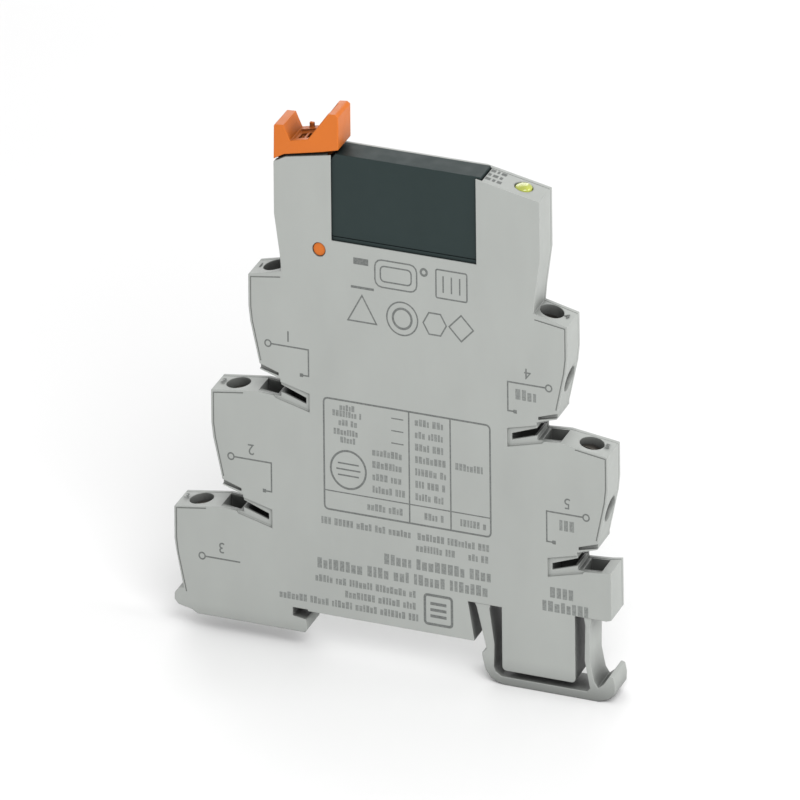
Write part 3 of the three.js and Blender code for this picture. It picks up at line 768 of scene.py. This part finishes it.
# Blocks beside the lens, in mm: place across the slope, then the lengths along it.
LENS_ROWS = [(-1.5, (0.9, 0.5, 0.8)), (0.0, (0.5, 0.9, 0.5)), (1.5, (0.8, 0.4, 0.9))]
LENS_BLOCKS_START = 1.3
LENS_BLOCK_HALF = 0.42
LENS_BLOCK_GAP = 0.35
SLOPE_START = Vector((16.4 * MM, 0, 78.4 * MM))   # top of the slope that the lens stands in
SLOPE_RUN = Vector((11.6, 0, -2.2))               # the way it runs down


def lens_marks():
    """Small blocks beside the lens, on the slope that it stands in."""
    sheet = MarkSheet(SLOPE_START, SLOPE_RUN.normalized(), Vector((0, 1, 0)))
    for row, lengths in LENS_ROWS:
        x = LENS_BLOCKS_START
        for length in lengths:
            sheet.bar(x, x + length, row - LENS_BLOCK_HALF, row + LENS_BLOCK_HALF)
            x += length + LENS_BLOCK_GAP
    sheet.finish("lens_marks", MARK)


STEP_EDGE = Vector((-25.2 * MM, 0, 56.0 * MM))    # outer edge of the top left step's top
STEP_NUMBER_IN = 1.15 * MM
STEP_NUMBER_HIGH = 2.1 * MM
NUMBERED_STEPS = [(-1, 0), (-1, 1), (-1, 2), (1, 0), (1, 1)]   # side, levels down from the top


def step_numbers():
    """A number on each terminal's sloping top, by its outer edge."""
    for number, (side, levels) in enumerate(NUMBERED_STEPS, 1):
        place = STEP_EDGE - levels * STEP
        place += Vector((math.cos(STEP_TILT), 0, math.sin(STEP_TILT))) * STEP_NUMBER_IN
        if side > 0:
            place.x = 2 * MIRROR_X - place.x
        turn = Matrix.Rotation(side * STEP_TILT, 3, "Y")
        number_mark(f"step_number_{number}", str(number), place, STEP_NUMBER_HIGH, turn)


# ------------------------------------------------------------------ elastic foot

LEG_TOP = 6.0 * MM                   # the foot's points above this are the tops of its legs
LEG_RISE = 0.42 * MM                 # how far they are carried up into the housing
LEG_FLARE = 0.3 * MM
LEG_MIDDLES = (16.9 * MM, 35.85 * MM)
LEG_CUTS = (1.2, 2.4, 3.6, 4.6, 5.4, 5.9)   # heights in mm
FOOT_EDGE = 0.14 * MM


def snap_foot():
    """The rail foot as one elastic moulding: its legs grow out of the housing.

    The shape is the CAD foot's own outline. The legs' tops are carried up into the housing and
    flared, and the legs are cut into short lengths.
    """
    mesh = plain_copy("rail_foot")
    tops = [vert for vert in mesh.verts if vert.co.z > LEG_TOP]
    for level in LEG_CUTS:
        bmesh.ops.bisect_plane(mesh, geom=mesh.verts[:] + mesh.edges[:] + mesh.faces[:],
                               plane_co=(0, 0, level * MM), plane_no=(0, 0, 1))
    for vert in tops:
        middle = min(LEG_MIDDLES, key=lambda x: abs(x - vert.co.x))
        vert.co.x += math.copysign(LEG_FLARE, vert.co.x - middle)
        vert.co.z += LEG_RISE
    weigh_sharp_edges(mesh, FOOT_EDGE)
    piece = add_piece("snap_foot", mesh, FINISHES["housing_plastic"])
    add_rounding(piece, FOOT_EDGE, "WEIGHT")
    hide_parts("rail_foot")
    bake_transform(piece)


# ------------------------------------------------------------------ stage, light and camera

FLOOR_HALF = 3.0


def build_stage():
    mesh = bpy.data.meshes.new("floor")
    corners = [(x * FLOOR_HALF, y * FLOOR_HALF, FLOOR_Z)
               for x, y in ((-1, -1), (1, -1), (1, 1), (-1, 1))]
    mesh.from_pydata(corners, [], [(0, 1, 2, 3)])
    floor = bpy.data.objects.new("floor", mesh)
    bpy.context.scene.collection.objects.link(floor)
    mesh.materials.append(studio_floor("studio_floor"))


# Light from all round, and the paler sky that the camera sees.
SKY_LIGHT = 0.72
SKY_SEEN = 1.0
LAMPS = [                            # name, place, size, power
    ("key", (0.35, -0.5, 0.55), 0.5, 5.0),
    ("side", (0.7, 0.05, 0.3), 0.4, 2.0),
    ("back", (-0.3, 0.6, 0.4), 0.5, 1.6),
]
LIGHT_AIM = (0, 0, 0.04)


def area_light(name, place, size, power):
    light = bpy.data.lights.new(name, "AREA")
    light.size = size
    light.energy = power
    lamp = bpy.data.objects.new(name, light)
    lamp.location = place
    lamp.rotation_euler = (Vector(LIGHT_AIM) - Vector(place)).to_track_quat("-Z", "Y").to_euler()
    bpy.context.scene.collection.objects.link(lamp)


def build_light():
    world = bpy.data.worlds.new("studio")
    world.use_nodes = True
    nodes, links = world.node_tree.nodes, world.node_tree.links
    sky = nodes["Background"]
    sky.inputs["Color"].default_value = (1, 1, 1, 1)
    seen = nodes.new("ShaderNodeLightPath")
    strength = nodes.new("ShaderNodeMapRange")
    strength.inputs["To Min"].default_value = SKY_LIGHT
    strength.inputs["To Max"].default_value = SKY_SEEN
    links.new(seen.outputs["Is Camera Ray"], strength.inputs["Value"])
    links.new(strength.outputs["Result"], sky.inputs["Strength"])
    bpy.context.scene.world = world
    for lamp in LAMPS:
        area_light(*lamp)
    bpy.context.scene.view_settings.view_transform = "Standard"


AT_THE_PICTURE = 0.01 * MM           # the camera's height may differ by this


def shift_at_the_picture(camera, path, value):
    """Gives the lens its shift at the picture's own viewpoint only.

    A shifted lens is right only from the place it was worked out for. From any other place the
    lens is an ordinary centred one, so the shift hangs on the camera's height.
    """
    driver = camera.data.driver_add(path).driver
    height = driver.variables.new()
    height.name = "height"
    height.type = "TRANSFORMS"
    height.targets[0].id = camera
    height.targets[0].transform_type = "LOC_Z"
    height.targets[0].transform_space = "WORLD_SPACE"
    away = f"abs(height - {camera.location.z:.6f})"
    driver.expression = f"{value:.6f} if {away} < {AT_THE_PICTURE} else 0"


def build_camera():
    data = bpy.data.cameras.new("camera")
    data.sensor_width = SENSOR
    data.lens = SENSOR * VIEW_DISTANCE / VIEW_WIDTH
    data.clip_end = CLIP_END
    camera = bpy.data.objects.new("camera", data)
    forward = Vector((-math.sin(VIEW_YAW), math.cos(VIEW_YAW), 0))
    rise = Vector((0, 0, VIEW_SLOPE))
    camera.location = VIEW_AIM + VIEW_DISTANCE * (rise - forward)
    level = Matrix.Rotation(VIEW_YAW, 3, "Z") @ Matrix.Rotation(math.pi / 2, 3, "X")
    camera.rotation_euler = (level @ Matrix.Rotation(-VIEW_ROLL, 3, "Z")).to_euler()
    bpy.context.scene.collection.objects.link(camera)
    bpy.context.scene.camera = camera
    drop = VIEW_SLOPE * data.lens / SENSOR
    shift_at_the_picture(camera, "shift_x", drop * math.sin(VIEW_ROLL))
    shift_at_the_picture(camera, "shift_y", -drop * math.cos(VIEW_ROLL))


# ------------------------------------------------------------------ putting it together


dress_cad_nodes()
remake_mouldings()
soften_cad_nodes()
printed_side()
step_numbers()
lens_marks()
snap_foot()
build_stage()
build_light()
build_camera()
